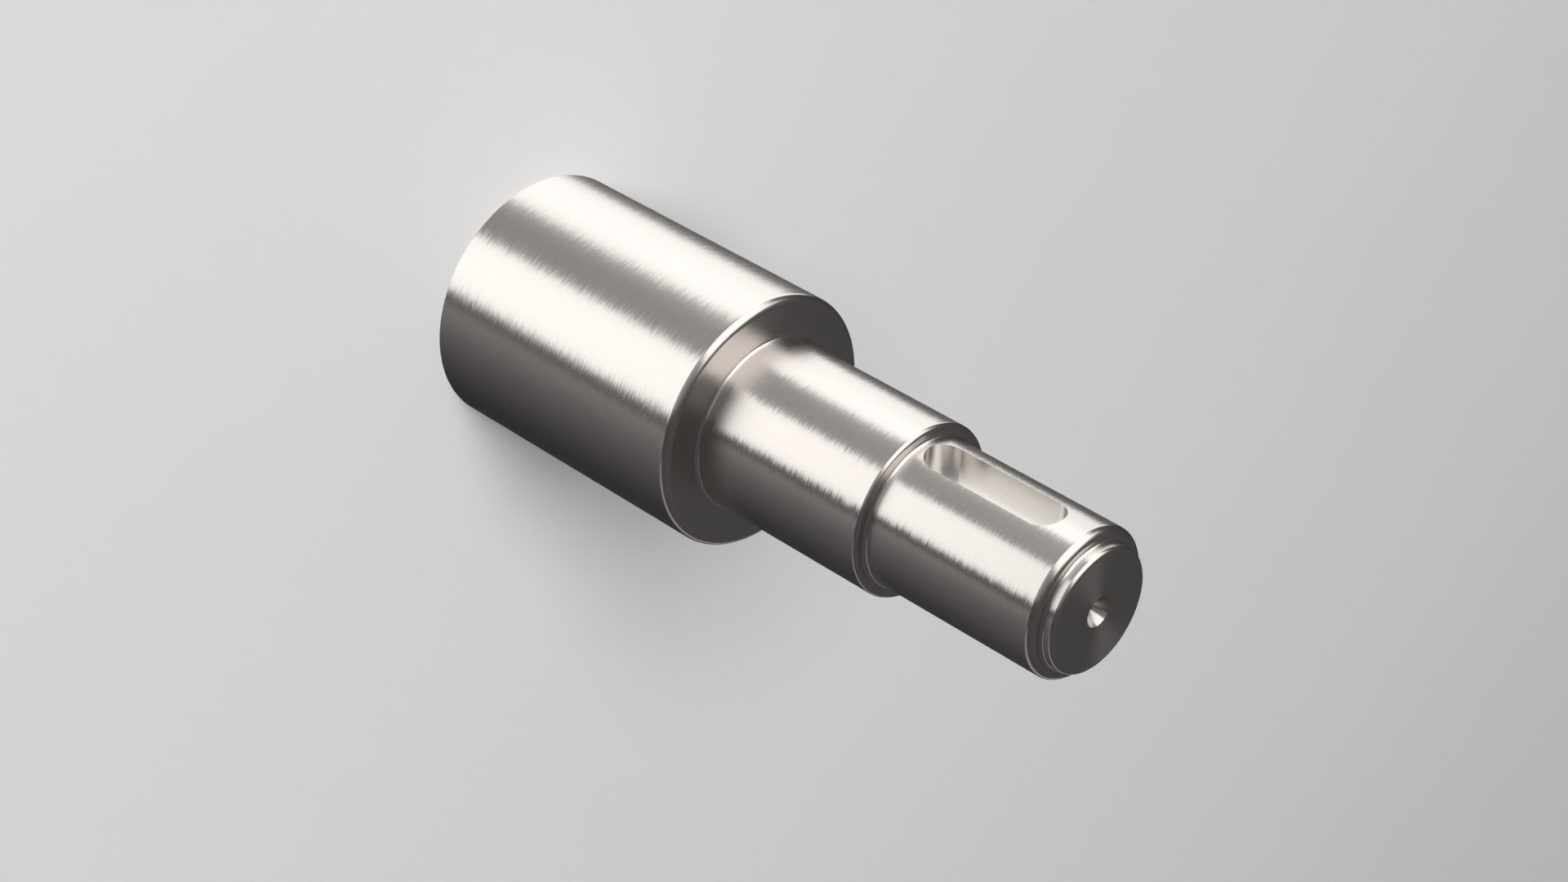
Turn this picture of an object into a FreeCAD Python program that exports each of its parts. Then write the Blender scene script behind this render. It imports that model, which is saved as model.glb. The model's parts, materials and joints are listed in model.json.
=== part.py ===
import FreeCAD, Part
import math
import os

# Stepped shaft, turned from one bar of steel, with a closed keyway near its small end.
# It stands on the flat face of its head. The origin is the middle of that face, and +Z
# runs along the shaft's axis towards the keyed end. All sizes are in millimetres.

# The four turned steps, from the head to the short spigot at the small end
head_diameter = 62.0
head_length = 76.0
middle_diameter = 42.0
middle_length = 48.5
seat_diameter = 36.0
seat_length = 47.5
spigot_diameter = 30.0
spigot_length = 3.0

# Rounded outer edge at the small end of each step; the head's other rim stays sharp
head_edge_radius = 2.0
middle_edge_radius = 1.0
seat_edge_radius = 2.0
spigot_edge_radius = 1.0

# Rounded inner corner where each smaller step meets the shoulder behind it
middle_root_radius = 1.0
seat_root_radius = 1.0
spigot_root_radius = 0.8

# Keyway milled into the seat with an end mill, so both of its ends are round
keyway_width = 10.0
keyway_length = 37.5
keyway_depth = 6.2
keyway_shoulder_gap = 1.7
keyway_cutter_overrun = 2.0

# Centre hole drilled in both ends of the shaft: a cone for the lathe centre, then a pilot
center_mouth_diameter = 7.2
center_cone_angle = 60.0
center_pilot_diameter = 3.15
center_pilot_depth = 7.0
drill_point_angle = 118.0

# Heights of the shoulders above the head's flat face
head_shoulder = head_length
middle_shoulder = head_shoulder + middle_length
seat_shoulder = middle_shoulder + seat_length
shaft_length = seat_shoulder + spigot_length

SHORTEST_LINE = 1e-6
AXIS_FOOT = FreeCAD.Vector(0, 0, 0)
AXIS = FreeCAD.Vector(0, 0, 1)


def profile_point(radius, height):
    """A point of the half section, which lies in the shaft's plane of symmetry, on the keyway's side."""
    return FreeCAD.Vector(0, -radius, height)


def fit_roundings(corners):
    """Keep each rounding small enough for the two straight walls that meet at its corner."""
    points = [profile_point(radius, height) for radius, height, rounding in corners]
    wanted = [rounding for radius, height, rounding in corners]
    fitted = list(wanted)
    for first in range(len(corners) - 1):
        second = first + 1
        needed = wanted[first] + wanted[second]
        room = points[first].distanceToPoint(points[second])
        if needed > room:
            share = room / needed
            fitted[first] = min(fitted[first], wanted[first] * share)
            fitted[second] = min(fitted[second], wanted[second] * share)
    return points, fitted


def add_line(edges, start, end):
    if start.distanceToPoint(end) > SHORTEST_LINE:
        edges.append(Part.LineSegment(start, end).toShape())


def rounded_section(corners):
    """Close a half section along the axis, with a quarter circle at each rounded square corner.

    Each corner is (radius, height, rounding). The first and the last lie on the axis.
    """
    points, roundings = fit_roundings(corners)
    edges = []
    pen = points[0]
    for index in range(1, len(points) - 1):
        corner = points[index]
        rounding = roundings[index]
        if rounding <= SHORTEST_LINE:
            add_line(edges, pen, corner)
            pen = corner
            continue
        towards_last = (points[index - 1] - corner).normalize()
        towards_next = (points[index + 1] - corner).normalize()
        arc_start = corner + towards_last * rounding
        arc_end = corner + towards_next * rounding
        center = arc_start + towards_next * rounding
        arc_middle = center + (corner - center).normalize() * rounding
        add_line(edges, pen, arc_start)
        edges.append(Part.Arc(arc_start, arc_middle, arc_end).toShape())
        pen = arc_end
    add_line(edges, pen, points[-1])
    add_line(edges, points[-1], points[0])
    return Part.Face(Part.Wire(edges))


def turned(section):
    """Turn a half section round the shaft's axis."""
    return section.revolve(AXIS_FOOT, AXIS, 360)


def turned_blank():
    """The plain stepped shaft, before drilling and milling."""
    head_radius = head_diameter / 2
    middle_radius = middle_diameter / 2
    seat_radius = seat_diameter / 2
    spigot_radius = spigot_diameter / 2
    corners = [
        (0, 0, 0),
        (head_radius, 0, 0),
        (head_radius, head_shoulder, head_edge_radius),
        (middle_radius, head_shoulder, middle_root_radius),
        (middle_radius, middle_shoulder, middle_edge_radius),
        (seat_radius, middle_shoulder, seat_root_radius),
        (seat_radius, seat_shoulder, seat_edge_radius),
        (spigot_radius, seat_shoulder, spigot_root_radius),
        (spigot_radius, shaft_length, spigot_edge_radius),
        (0, shaft_length, 0),
    ]
    return turned(rounded_section(corners))


def center_drill(face_height, inward):
    """The space cut by a centre drill; inward is +1 when it cuts up and -1 when it cuts down."""
    mouth_radius = center_mouth_diameter / 2
    pilot_radius = center_pilot_diameter / 2
    cone_depth = (mouth_radius - pilot_radius) / math.tan(math.radians(center_cone_angle / 2))
    tip_depth = center_pilot_depth + pilot_radius / math.tan(math.radians(drill_point_angle / 2))
    outline = [
        profile_point(0, face_height),
        profile_point(mouth_radius, face_height),
        profile_point(pilot_radius, face_height + inward * cone_depth),
        profile_point(pilot_radius, face_height + inward * center_pilot_depth),
        profile_point(0, face_height + inward * tip_depth),
    ]
    return turned(Part.Face(Part.makePolygon(outline + [outline[0]])))


def keyway_cutter():
    """The space swept by the end mill: a slot with round ends, cut into the -Y side of the seat."""
    half_width = keyway_width / 2
    floor_distance = seat_diameter / 2 - keyway_depth
    low_end = middle_shoulder + keyway_shoulder_gap
    high_end = low_end + keyway_length
    low_center = low_end + half_width
    high_center = high_end - half_width

    def on_floor(x, z):
        return FreeCAD.Vector(x, -floor_distance, z)

    straight_left = Part.LineSegment(on_floor(-half_width, low_center), on_floor(-half_width, high_center))
    high_round = Part.Arc(
        on_floor(-half_width, high_center), on_floor(0, high_end), on_floor(half_width, high_center)
    )
    straight_right = Part.LineSegment(on_floor(half_width, high_center), on_floor(half_width, low_center))
    low_round = Part.Arc(
        on_floor(half_width, low_center), on_floor(0, low_end), on_floor(-half_width, low_center)
    )
    sides = [straight_left, high_round, straight_right, low_round]
    floor = Part.Face(Part.Wire([side.toShape() for side in sides]))
    return floor.extrude(FreeCAD.Vector(0, -(keyway_depth + keyway_cutter_overrun), 0))


def stepped_shaft():
    """The finished shaft, one solid."""
    cuts = [center_drill(0, 1), center_drill(shaft_length, -1), keyway_cutter()]
    return turned_blank().cut(cuts)


os.makedirs("parts", exist_ok=True)
shaft = stepped_shaft().Solids[0]
shaft.exportStep("parts/stepped_shaft.step")
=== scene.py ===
import json
import math

import bmesh
import bpy
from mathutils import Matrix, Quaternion, Vector


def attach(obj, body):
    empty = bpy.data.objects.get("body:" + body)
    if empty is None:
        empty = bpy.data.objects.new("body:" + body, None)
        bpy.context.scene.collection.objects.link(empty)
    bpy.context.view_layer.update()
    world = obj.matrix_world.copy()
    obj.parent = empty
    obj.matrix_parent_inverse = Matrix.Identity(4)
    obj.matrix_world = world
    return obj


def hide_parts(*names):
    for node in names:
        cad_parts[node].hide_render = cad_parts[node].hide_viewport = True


# A stepped steel shaft, standing on its head. All lengths are in metres, in the frame of the solid
# part: +Z runs along the shaft's axis and the keyway opens towards -Y.

SHAFT = "stepped_shaft"
MM = 0.001

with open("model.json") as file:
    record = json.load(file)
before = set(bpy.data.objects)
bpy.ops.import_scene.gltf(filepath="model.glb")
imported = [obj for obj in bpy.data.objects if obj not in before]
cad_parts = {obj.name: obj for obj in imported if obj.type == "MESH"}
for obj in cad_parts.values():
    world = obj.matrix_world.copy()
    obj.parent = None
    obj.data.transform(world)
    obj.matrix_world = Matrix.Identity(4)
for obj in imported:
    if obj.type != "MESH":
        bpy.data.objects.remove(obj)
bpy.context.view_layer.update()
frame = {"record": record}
mounts = {mount["name"]: mount for mount in frame["record"]["mounts"]}


def turned_wall(name):
    """Radius, lower end and upper end of the cylinder that a mount names."""
    mount = mounts[name]
    half_length = mount["dims"]["length_mm"] * MM / 2
    middle = mount["pos_m"][2]
    return mount["dims"]["r_mm"] * MM, middle - half_length, middle + half_length


def face_height(name):
    """Height of the flat face that a mount names."""
    return mounts[name]["pos_m"][2]


# Steps of the shaft, from the mounts in its record
head_radius, head_bottom, head_wall_end = turned_wall("head_journal")
middle_radius, middle_wall_start, middle_wall_end = turned_wall("bearing_journal")
seat_radius, seat_wall_start, seat_wall_end = turned_wall("keyed_seat")
head_shoulder = face_height("bearing_shoulder")
middle_shoulder = face_height("hub_shoulder")
shaft_end = face_height("small_end_face")

# Sizes of the spigot and the centre holes, which no mount states
spigot_length = 3.0 * MM
spigot_radius = 15.0 * MM
spigot_edge_radius = 1.0 * MM
spigot_root_radius = 0.8 * MM
seat_shoulder = shaft_end - spigot_length
seat_edge_radius = seat_shoulder - seat_wall_end
center_mouth_radius = 3.6 * MM
center_pilot_radius = 1.575 * MM
center_pilot_depth = 7.0 * MM
center_cone_half_angle = math.radians(30)
drill_point_half_angle = math.radians(59)

# The keyway, a slot with round ends
keyway_half_width = 5.0 * MM
keyway_length = 37.5 * MM
keyway_shoulder_gap = 1.7 * MM
keyway_cutter_overrun = 2.0 * MM
keyway_low_end = middle_shoulder + keyway_shoulder_gap
keyway_high_end = keyway_low_end + keyway_length
keyway_low_center = keyway_low_end + keyway_half_width
keyway_high_center = keyway_high_end - keyway_half_width
keyway_floor_distance = -mounts["keyway"]["pos_m"][1]
keyway_cutter_reach = seat_radius + keyway_cutter_overrun

# Fineness of the mesh, and the gap below which two of its points are one
turns = 360
rounding_steps = 10
keyway_end_steps = 32
doubled_point_gap = 0.0001 * MM

# How far a height or a normal may be off and still count as level or square
level_tolerance = 0.0001 * MM
square_tolerance = 0.01


def half_section():
    """The shaft's half section as (radius, height) points, and for each span its rounding or None.

    A span's rounding is (center radius, center height, side), and side is 1 on an outer edge and
    -1 in an inner corner.
    """
    points = []
    spans = []

    def add(radius, height, rounding=None):
        if points:
            spans.append(rounding)
        points.append((radius, height))

    def add_rounding(center_radius, center_height, rounding, first_angle, last_angle, side):
        for step in range(rounding_steps + 1):
            angle = math.radians(first_angle + (last_angle - first_angle) * step / rounding_steps)
            radius = center_radius + rounding * math.cos(angle)
            height = center_height + rounding * math.sin(angle)
            inside = (center_radius, center_height, side) if step else None
            add(radius, height, inside)

    def add_center_hole(height, inward):
        cone_depth = (center_mouth_radius - center_pilot_radius) / math.tan(center_cone_half_angle)
        tip_depth = center_pilot_depth + center_pilot_radius / math.tan(drill_point_half_angle)
        hole = [
            (0, height + inward * tip_depth),
            (center_pilot_radius, height + inward * center_pilot_depth),
            (center_pilot_radius, height + inward * cone_depth),
            (center_mouth_radius, height),
        ]
        if inward < 0:
            hole.reverse()
        for radius, level in hole:
            add(radius, level)

    def add_outer_edge(radius, shoulder, rounding):
        add_rounding(radius - rounding, shoulder - rounding, rounding, 0, 90, 1)

    def add_inner_corner(radius, shoulder, rounding):
        add_rounding(radius + rounding, shoulder + rounding, rounding, 270, 180, -1)

    add_center_hole(head_bottom, 1)
    add(head_radius, head_bottom)
    add_outer_edge(head_radius, head_shoulder, head_shoulder - head_wall_end)
    add_inner_corner(middle_radius, head_shoulder, middle_wall_start - head_shoulder)
    add_outer_edge(middle_radius, middle_shoulder, middle_shoulder - middle_wall_end)
    add_inner_corner(seat_radius, middle_shoulder, seat_wall_start - middle_shoulder)
    add_outer_edge(seat_radius, seat_shoulder, seat_edge_radius)
    add_inner_corner(spigot_radius, seat_shoulder, spigot_root_radius)
    add_outer_edge(spigot_radius, shaft_end, spigot_edge_radius)
    add_center_hole(shaft_end, -1)
    return points, spans


def new_mesh_object(name, vertices, faces):
    mesh = bpy.data.meshes.new(name)
    mesh.from_pydata(vertices, [], faces)
    mesh.update()
    made = bpy.data.objects.new(name, mesh)
    bpy.context.scene.collection.objects.link(made)
    return made


def lathe(name, points):
    """Turn a half section round the axis: a ring of points for each of its points off the axis."""
    vertices = []
    rings = []
    for radius, height in points:
        if radius == 0:
            rings.append([len(vertices)] * turns)
            vertices.append((0, 0, height))
            continue
        rings.append(list(range(len(vertices), len(vertices) + turns)))
        for turn in range(turns):
            angle = math.tau * turn / turns
            vertices.append((radius * math.cos(angle), radius * math.sin(angle), height))
    faces = []
    for lower, upper in zip(rings, rings[1:]):
        for turn in range(turns):
            after = (turn + 1) % turns
            corners = [lower[turn], lower[after], upper[after], upper[turn]]
            # A face that touches the axis has the same corner twice, and keeps it once
            faces.append(list(dict.fromkeys(corners)))
    return new_mesh_object(name, vertices, faces)


def keyway_cutter():
    """A prism with round ends, as an end mill sweeps it, cut in from the -Y side."""
    outline = []
    for center, first_angle in ((keyway_high_center, 0), (keyway_low_center, 180)):
        for step in range(keyway_end_steps + 1):
            angle = math.radians(first_angle + 180 * step / keyway_end_steps)
            x = keyway_half_width * math.cos(angle)
            z = center + keyway_half_width * math.sin(angle)
            outline.append((x, z))
    count = len(outline)
    vertices = [(x, -keyway_floor_distance, z) for x, z in outline]
    vertices += [(x, -keyway_cutter_reach, z) for x, z in outline]
    faces = [list(range(count)), list(reversed(range(count, 2 * count)))]
    for index in range(count):
        after = (index + 1) % count
        faces.append([after, index, count + index, count + after])
    cutter = new_mesh_object("keyway_cutter", vertices, faces)
    build = bmesh.new()
    build.from_mesh(cutter.data)
    bmesh.ops.recalc_face_normals(build, faces=build.faces)
    build.to_mesh(cutter.data)
    build.free()
    return cutter


def cut_with(body, cutter):
    """Cut one closed mesh out of another; the cut faces keep the cutter's material."""
    cut = body.modifiers.new("cut", "BOOLEAN")
    cut.operation = "DIFFERENCE"
    cut.solver = "EXACT"
    cut.material_mode = "TRANSFER"
    cut.object = cutter
    depsgraph = bpy.context.evaluated_depsgraph_get()
    mesh = bpy.data.meshes.new_from_object(body.evaluated_get(depsgraph))
    body.modifiers.clear()
    body.data = mesh
    bpy.data.objects.remove(cutter)
    merge_doubled_points(mesh)


def merge_doubled_points(mesh):
    """Join the points that a cut leaves on top of each other, where two of its edges meet."""
    build = bmesh.new()
    build.from_mesh(mesh)
    bmesh.ops.remove_doubles(build, verts=build.verts, dist=doubled_point_gap)
    build.to_mesh(mesh)
    build.free()


def nearest_span(points, radius, height):
    """Index of the section's span that lies nearest to a point of the section's plane."""
    best = None
    for index in range(len(points) - 1):
        start = Vector(points[index])
        along = Vector(points[index + 1]) - start
        place = Vector((radius, height)) - start
        share = max(0.0, min(1.0, place.dot(along) / along.length_squared))
        distance = (place - along * share).length
        if best is None or distance < best[0]:
            best = (distance, index)
    return best[1]


def finish_of_span(points, spans, index):
    """The name of the finish of a span: roundings are smoothed, flat faces faced, walls turned."""
    if spans[index]:
        return "rounded"
    start_height = points[index][1]
    end_height = points[index + 1][1]
    is_level = math.isclose(start_height, end_height, abs_tol=level_tolerance)
    return "faced" if is_level else "turned"


def section_normal(points, rounding, index, radius, height):
    """Outward normal, in the section's plane, of a span at one of its points."""
    if rounding:
        center_radius, center_height, side = rounding
        return (Vector((radius - center_radius, height - center_height)) * side).normalized()
    along = Vector(points[index + 1]) - Vector(points[index])
    return Vector((along.y, -along.x)).normalized()


def is_keyway_floor(face_normal):
    """Tell the keyway's floor, which faces along Y, from its sides and ends, which lie along Y."""
    return abs(face_normal.y) > 0.5


def keyway_normal(place, face_normal):
    """Normal of the keyway's floor, straight sides or round ends at a point of one of them."""
    if is_keyway_floor(face_normal):
        return Vector((0, -1, 0))
    is_straight = abs(face_normal.z) < square_tolerance
    if is_straight and keyway_low_center < place.z < keyway_high_center:
        return Vector((face_normal.x, 0, 0)).normalized()
    is_high = place.z > (keyway_low_center + keyway_high_center) / 2
    center = keyway_high_center if is_high else keyway_low_center
    return Vector((-place.x, 0, center - place.z)).normalized()


def finish_surface(body, points, spans, finishes):
    """Give each face its finish, and each corner the true normal of the surface it lies on."""
    mesh = body.data
    milled = [finishes.index("milled_side"), finishes.index("milled_floor")]
    normals = [None] * len(mesh.loops)
    for face in mesh.polygons:
        face.use_smooth = True
        if face.material_index in milled:
            for loop in face.loop_indices:
                place = mesh.vertices[mesh.loops[loop].vertex_index].co
                normals[loop] = keyway_normal(place, face.normal)
            continue
        middle = face.center
        index = nearest_span(points, math.hypot(middle.x, middle.y), middle.z)
        face.material_index = finishes.index(finish_of_span(points, spans, index))
        for loop in face.loop_indices:
            place = mesh.vertices[mesh.loops[loop].vertex_index].co
            radius = math.hypot(place.x, place.y)
            flat = section_normal(points, spans[index], index, radius, place.z)
            spoke = Vector((place.x, place.y, 0))
            if radius == 0:
                spoke = Vector((middle.x, middle.y, 0))
            spoke.normalize()
            normals[loop] = spoke * flat.x + Vector((0, 0, flat.y))
    mesh.normals_split_custom_set(normals)


class Nodes:
    """Short calls for building a material's node tree."""

    def __init__(self, name):
        self.material = bpy.data.materials.new(name)
        self.material.use_nodes = True
        self.tree = self.material.node_tree
        self.tree.nodes.clear()

    def add(self, kind, settings=None, **inputs):
        """A new node with its settings, and its inputs by name, with _ for a space."""
        node = self.tree.nodes.new(kind)
        for key, value in (settings or {}).items():
            setattr(node, key, value)
        for key, value in inputs.items():
            self.link(node, key.replace("_", " "), value)
        return node

    def link(self, node, key, value):
        """Feed an input, given by name or by number, from another node's output or a value."""
        socket = node.inputs[int(key)] if key.isdigit() else node.inputs[key]
        if isinstance(value, bpy.types.NodeSocket):
            self.tree.links.new(value, socket)
        else:
            socket.default_value = value


def join(nodes, kind, operation, first, second=None):
    """A math or vector math node with its inputs."""
    node = nodes.add(kind, {"operation": operation})
    nodes.link(node, "0", first)
    if second is not None:
        nodes.link(node, "1", second)
    return node


def math_value(nodes, operation, first, second):
    return join(nodes, "ShaderNodeMath", operation, first, second).outputs["Value"]


def mixed_color(nodes, share, first, second):
    """Mix two colours by a share. The node's modes share socket names, so these go by number."""
    first_color, second_color, result = 6, 7, 2
    mix = nodes.add("ShaderNodeMix", {"data_type": "RGBA"})
    mix.inputs[first_color].default_value = (*first, 1.0)
    mix.inputs[second_color].default_value = (*second, 1.0)
    nodes.link(mix, "0", share)
    return mix.outputs[result]


# Most of a noise's values lie between these two
noise_low = 0.3
noise_high = 0.7

# Streaks that the turning tool leaves: their width, their length along the turn, and how far
# they sway the steel's tone and roughness either way, as shares
mark_width = 0.3 * MM
mark_length = 3.5 * MM
mark_detail = 0.6
mark_detail_strength = 0.65
tone_sway = 0.01
roughness_sway = 0.02

# A quarter turn of the anisotropy, as a share of a full turn
quarter_turn = 0.25


def spread(nodes, value, low, high):
    """Map the usual values of a noise onto a range, and the rest on beyond it."""
    node = nodes.add("ShaderNodeMapRange", {"clamp": False})
    ends = {"From Min": noise_low, "From Max": noise_high, "To Min": low, "To Max": high}
    for key, number in ends.items():
        node.inputs[key].default_value = number
    nodes.link(node, "Value", value)
    return node.outputs["Result"]


def turning_marks(nodes):
    """Noise drawn out round the axis into the streaks of the turning tool."""
    place = nodes.add("ShaderNodeTexCoord").outputs["Object"]
    parts = nodes.add("ShaderNodeSeparateXYZ", Vector=place).outputs
    flat = nodes.add("ShaderNodeCombineXYZ", X=parts["X"], Y=parts["Y"]).outputs["Vector"]
    radius = join(nodes, "ShaderNodeVectorMath", "LENGTH", flat).outputs["Value"]
    travel = math_value(nodes, "ADD", parts["Z"], radius)
    vector = nodes.add(
        "ShaderNodeCombineXYZ",
        X=math_value(nodes, "MULTIPLY", parts["X"], 1 / mark_length),
        Y=math_value(nodes, "MULTIPLY", parts["Y"], 1 / mark_length),
        Z=math_value(nodes, "MULTIPLY", travel, 1 / mark_width),
    )
    noise = nodes.add("ShaderNodeTexNoise", Vector=vector.outputs["Vector"])
    noise.inputs["Scale"].default_value = 1.0
    noise.inputs["Detail"].default_value = mark_detail
    noise.inputs["Roughness"].default_value = mark_detail_strength
    return noise.outputs["Fac"]


def tilted_normal(nodes, marks, tilt):
    """The tangent along the turn, and the surface's normal swayed along it by the marks.

    The tilt is about the largest sway, as a slope.
    """
    tangent = nodes.add("ShaderNodeTangent", {"direction_type": "RADIAL", "axis": "Z"})
    sway = nodes.add("ShaderNodeVectorMath", {"operation": "SCALE"})
    nodes.link(sway, "0", tangent.outputs["Tangent"])
    nodes.link(sway, "Scale", spread(nodes, marks, -tilt, tilt))
    normal = nodes.add("ShaderNodeNewGeometry").outputs["Normal"]
    swayed = join(nodes, "ShaderNodeVectorMath", "ADD", normal, sway.outputs["Vector"])
    straight = join(nodes, "ShaderNodeVectorMath", "NORMALIZE", swayed.outputs["Vector"])
    return tangent.outputs["Tangent"], straight.outputs["Vector"]


def steel(name, color, roughness, anisotropy, tilt, mark_depth):
    """Bright steel whose marks show in its tone, its gloss, its relief and the tilt of its surface."""
    nodes = Nodes(name)
    marks = turning_marks(nodes)
    tangent, normal = tilted_normal(nodes, marks, tilt)
    relief = nodes.add("ShaderNodeBump", Height=marks, Normal=normal)
    relief.inputs["Strength"].default_value = 1.0
    relief.inputs["Distance"].default_value = mark_depth
    darker = [part * (1 - tone_sway) for part in color]
    lighter = [part * (1 + tone_sway) for part in color]
    tone = mixed_color(nodes, spread(nodes, marks, 0.0, 1.0), darker, lighter)
    smoothest = roughness * (1 - roughness_sway)
    roughest = roughness * (1 + roughness_sway)
    surface = nodes.add("ShaderNodeBsdfPrincipled")
    surface.inputs["Metallic"].default_value = 1.0
    surface.inputs["Anisotropic"].default_value = anisotropy
    surface.inputs["Anisotropic Rotation"].default_value = quarter_turn
    nodes.link(surface, "Base Color", tone)
    nodes.link(surface, "Roughness", spread(nodes, marks, smoothest, roughest))
    nodes.link(surface, "Normal", relief.outputs["Normal"])
    nodes.link(surface, "Tangent", tangent)
    nodes.add("ShaderNodeOutputMaterial", Surface=surface.outputs["BSDF"])
    return nodes.material


# Colours of the turned steel, and of the milled sides and floor of the keyway. The sides are a little
# darker than the turned steel, and the floor's near-white colour is a painted reflection of the bright
# lamps.
turned_color = (0.66, 0.62, 0.59)
side_color = (0.60, 0.57, 0.535)
keyway_floor_painted_reflection_color = (0.92, 0.905, 0.885)

# The shaft's finishes, one material each
materials = {
    "turned": steel(
        "turned_steel", turned_color,
        roughness=0.275, anisotropy=0.7, tilt=0.019, mark_depth=0.0005 * MM,
    ),
    "faced": steel(
        "faced_steel", turned_color,
        roughness=0.288, anisotropy=0.857, tilt=0.02, mark_depth=0.001 * MM,
    ),
    "rounded": steel(
        "rounded_steel", turned_color,
        roughness=0.25, anisotropy=0.3, tilt=0.008, mark_depth=0.0002 * MM,
    ),
    "milled_side": steel(
        "side_milled_steel", side_color,
        roughness=0.16, anisotropy=0.0, tilt=0.002, mark_depth=0.0002 * MM,
    ),
    # The keyway floor's near-white colour is a painted reflection of the lamps, lighter than its
    # steel.
    "milled_floor": steel(
        "end_milled_steel", keyway_floor_painted_reflection_color,
        roughness=0.38, anisotropy=0.0, tilt=0.002, mark_depth=0.0002 * MM,
    ),
}


def stepped_shaft():
    """The shaft's whole surface, shown in place of the plain solid."""
    points, spans = half_section()
    body = lathe("shaft_surface", points)
    cutter = keyway_cutter()
    finishes = list(materials)
    for finish in finishes:
        body.data.materials.append(materials[finish])
        cutter.data.materials.append(materials[finish])
    for face in cutter.data.polygons:
        finish = "milled_floor" if is_keyway_floor(face.normal) else "milled_side"
        face.material_index = finishes.index(finish)
    cut_with(body, cutter)
    finish_surface(body, points, spans, finishes)
    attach(body, "root")
    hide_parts(SHAFT)


# Studio. Directions are an azimuth, counted from +X towards +Y, and an elevation, in degrees.
lamp_center_height = 85.0 * MM
panel_distance = 1.2

# A faded panel's brightness falls with this power of the distance left to its far edge
fade_power = 2.3


def direction(azimuth, elevation):
    around = math.radians(azimuth)
    above = math.radians(elevation)
    return Vector(
        (math.cos(around) * math.cos(above), math.sin(around) * math.cos(above), math.sin(above))
    )


def place_lamp(name, lamp, towards, distance, height):
    """Hang a lamp in a direction from the shaft, facing back along it, out of the camera's sight."""
    holder = bpy.data.objects.new(name, lamp)
    holder.location = towards * distance + Vector((0, 0, height))
    holder.rotation_mode = "QUATERNION"
    holder.rotation_quaternion = towards.to_track_quat("Z", "Y")
    holder.visible_camera = False
    bpy.context.scene.collection.objects.link(holder)
    return holder


def softbox(name, azimuths, elevations, radiance, fade_axis=None, far_radiance=0.0):
    """An upright soft panel that the metal shows, filling a range of azimuths and elevations.

    Its long edges run parallel to the shaft, so they show as straight lines along it. With a fade
    axis of X it fades towards higher azimuths, and with Y it fades upwards. It leaves the floor
    alone, which has a lamp of its own.
    """
    first, last = azimuths
    low, high = (panel_distance * math.tan(math.radians(level)) for level in elevations)
    lamp = bpy.data.lights.new(name, "AREA")
    lamp.shape = "RECTANGLE"
    lamp.size = 2 * panel_distance * math.tan(math.radians((last - first) / 2))
    lamp.size_y = high - low
    lamp.energy = radiance * lamp.size * lamp.size_y * math.pi
    if fade_axis:
        add_fade(lamp, fade_axis, far_radiance / radiance)
    towards = direction((first + last) / 2, 0)
    height = lamp_center_height + (low + high) / 2
    holder = place_lamp(name, lamp, towards, panel_distance, height)
    holder.visible_diffuse = False


def add_fade(lamp, axis, far_share):
    """Dim a lamp's face along one of its axes, quickly at first and then more slowly."""
    lamp.use_nodes = True
    tree = lamp.node_tree
    place = tree.nodes.new("ShaderNodeNewGeometry").outputs["Parametric"]
    parts = tree.nodes.new("ShaderNodeSeparateXYZ")
    remaining = tree.nodes.new("ShaderNodeMath")
    remaining.operation = "SUBTRACT"
    remaining.inputs[0].default_value = 1.0
    curved = tree.nodes.new("ShaderNodeMath")
    curved.operation = "POWER"
    curved.inputs[1].default_value = fade_power
    fade = tree.nodes.new("ShaderNodeMapRange")
    fade.inputs["To Min"].default_value = far_share
    fade.inputs["To Max"].default_value = 1.0
    tree.links.new(place, parts.inputs["Vector"])
    tree.links.new(parts.outputs[axis], remaining.inputs[1])
    tree.links.new(remaining.outputs["Value"], curved.inputs[0])
    tree.links.new(curved.outputs["Value"], fade.inputs["Value"])
    tree.links.new(fade.outputs["Result"], tree.nodes["Emission"].inputs["Strength"])


def floor_lamp(azimuth, elevation, distance, size, power):
    """The lamp that lights the floor and gives the shaft its shadow; the metal doesn't show it."""
    lamp = bpy.data.lights.new("floor_lamp", "AREA")
    lamp.shape = "DISK"
    lamp.size = size
    lamp.energy = power
    towards = direction(azimuth, elevation)
    holder = place_lamp("floor_lamp", lamp, towards, distance, lamp_center_height)
    holder.visible_glossy = False


def studio_lamps():
    """Boxes for the photograph's bright bands along the shaft, and fills for its dim parts.

    Each panel has its azimuths, its elevations and its radiance. Two fade along an axis, to the
    radiance that comes last.
    """
    softbox("left_box", (187, 252), (-65, -18), 1.57)
    softbox("left_box_corner", (227, 252), (-19, -8), 1.5)
    softbox("right_box", (295, 349), (-65, -17.5), 1.73)
    softbox("upper_box", (226, 295), (-8, 22), 1.6)
    softbox("top_box", (214, 296), (22, 68), 1.6)
    softbox("gap_fill", (252, 295), (-65, -12), 0.3)
    softbox("right_upper_fill", (297, 342), (-14, 62), 0.42, "Y", 0.06)
    softbox("lower_fill", (1, 95), (-65, -14), 0.32, "X", 0.0)
    softbox("edge_fill", (135, 187), (-65, -22), 0.11)
    softbox("back_fill", (22, 128), (-13, 2), 0.4)
    floor_lamp(azimuth=306, elevation=57, distance=2.6, size=1.3, power=56.0)


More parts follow.
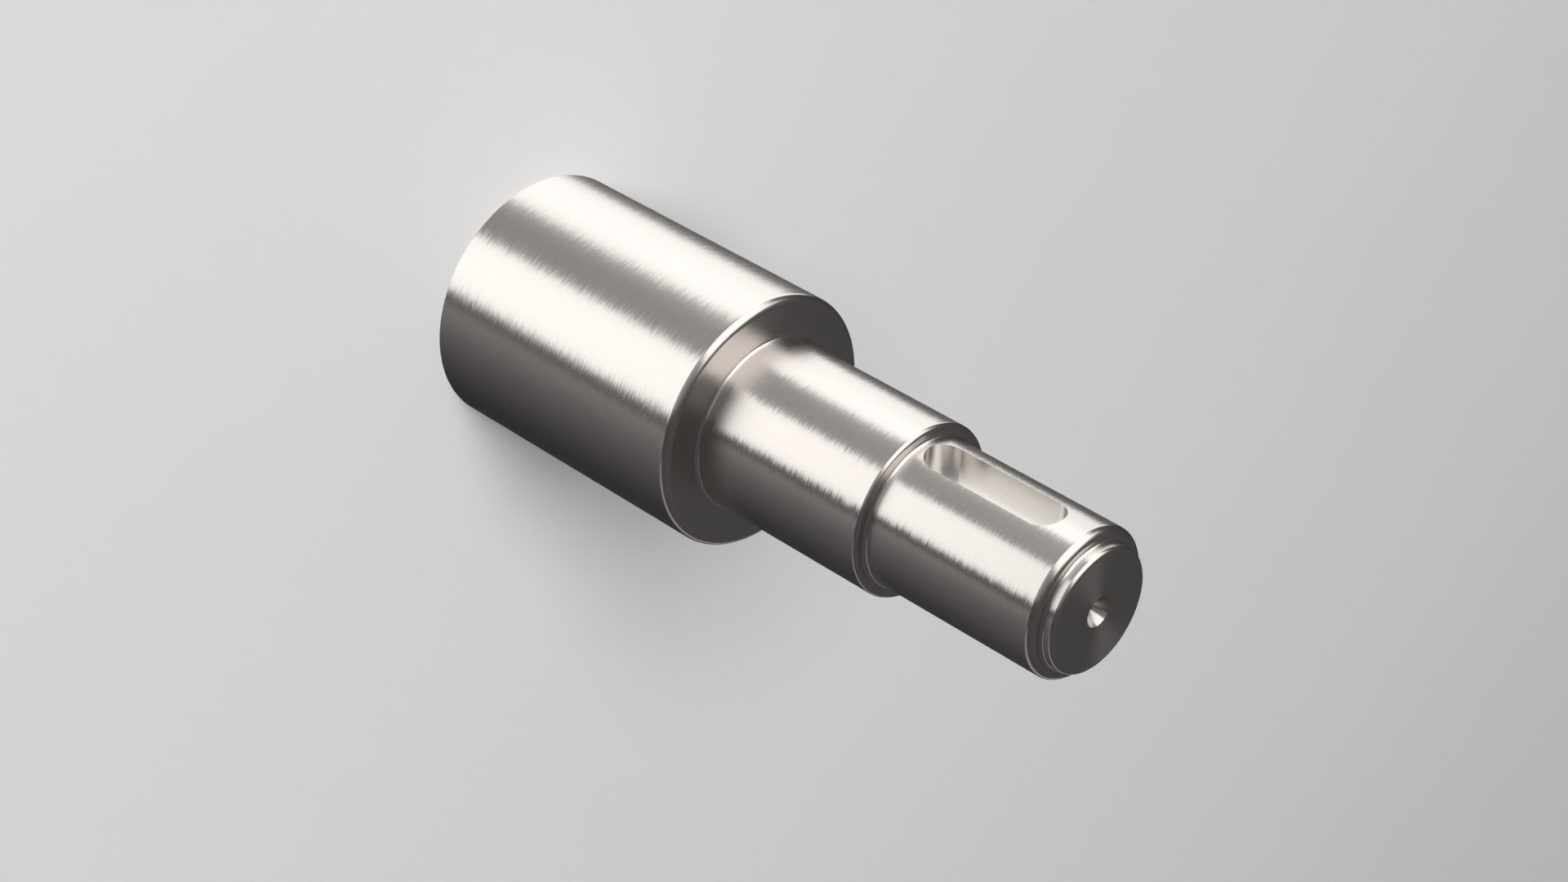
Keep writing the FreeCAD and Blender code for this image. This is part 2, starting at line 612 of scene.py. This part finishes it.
def studio_world():
    """A dim grey surround, a little lighter above than below."""
    low_gray = 0.022
    high_gray = 0.088
    ramp_reach = 0.7
    world = bpy.data.worlds.new("studio")
    bpy.context.scene.world = world
    world.use_nodes = True
    tree = world.node_tree
    towards = tree.nodes.new("ShaderNodeTexCoord").outputs["Generated"]
    parts = tree.nodes.new("ShaderNodeSeparateXYZ")
    rise = tree.nodes.new("ShaderNodeMapRange")
    rise.inputs["From Min"].default_value = -ramp_reach
    rise.inputs["From Max"].default_value = ramp_reach
    rise.inputs["To Min"].default_value = low_gray
    rise.inputs["To Max"].default_value = high_gray
    tree.links.new(towards, parts.inputs["Vector"])
    tree.links.new(parts.outputs["Z"], rise.inputs["Value"])
    tree.links.new(rise.outputs["Result"], tree.nodes["Background"].inputs["Color"])


def pale_floor():
    """Matt, nearly white, with a faint mottle."""
    mottle_scale = 3.0
    darker = (0.80, 0.80, 0.80)
    lighter = (0.83, 0.83, 0.83)
    nodes = Nodes("pale_floor")
    place = nodes.add("ShaderNodeTexCoord").outputs["Object"]
    mottle = nodes.add("ShaderNodeTexNoise", Vector=place)
    mottle.inputs["Scale"].default_value = mottle_scale
    tone = mixed_color(nodes, mottle.outputs["Fac"], darker, lighter)
    surface = nodes.add("ShaderNodeBsdfPrincipled")
    surface.inputs["Roughness"].default_value = 0.9
    surface.inputs["Specular IOR Level"].default_value = 0.0
    nodes.link(surface, "Base Color", tone)
    nodes.add("ShaderNodeOutputMaterial", Surface=surface.outputs["BSDF"])
    return nodes.material


def studio_floor():
    """A pale floor that curves up into a wall far outside.

    The camera looks down at it behind the shaft. It takes the shaft's shadow, but the metal shows
    the softboxes that hang below its level, so it is left out of reflections and casts no shadow.
    """
    flat_radius = 2.6
    bend_radius = 1.0
    wall_top = 3.2
    bend_steps = 16
    profile = [(0, 0), (flat_radius, 0)]
    for step in range(1, bend_steps + 1):
        angle = math.radians(90 * step / bend_steps)
        radius = flat_radius + bend_radius * math.sin(angle)
        height = bend_radius * (1 - math.cos(angle))
        profile.append((radius, height))
    profile.append((flat_radius + bend_radius, wall_top))
    floor = lathe("studio_floor", profile)
    for face in floor.data.polygons:
        face.use_smooth = True
    floor.data.materials.append(pale_floor())
    floor.visible_glossy = False
    floor.visible_shadow = False


def photograph_camera():
    """The photograph's own view: a long lens from above, rolled because the shaft lies down there."""
    view_azimuth = -43.6891
    view_elevation = 35.1634
    view_roll = 119.4947
    distance = 0.75368
    target = Vector((0.00085, 0.00089, 0.08336))
    sensor_width = 36.0
    photograph_width_pixels = 1920
    focal_pixels = 4101.74
    camera = bpy.data.cameras.new("camera")
    camera.sensor_width = sensor_width
    camera.lens = sensor_width * focal_pixels / photograph_width_pixels
    camera.clip_start = 0.01
    camera.clip_end = 20.0
    holder = bpy.data.objects.new("camera", camera)
    back = direction(view_azimuth, view_elevation)
    holder.location = target + back * distance
    holder.rotation_mode = "QUATERNION"
    roll = Quaternion((0, 0, 1), math.radians(view_roll))
    holder.rotation_quaternion = (-back).to_track_quat("-Z", "Y") @ roll
    bpy.context.scene.collection.objects.link(holder)
    bpy.context.scene.camera = holder


stepped_shaft()
studio_lamps()
studio_world()
studio_floor()
photograph_camera()
bpy.context.scene.view_settings.view_transform = "Standard"
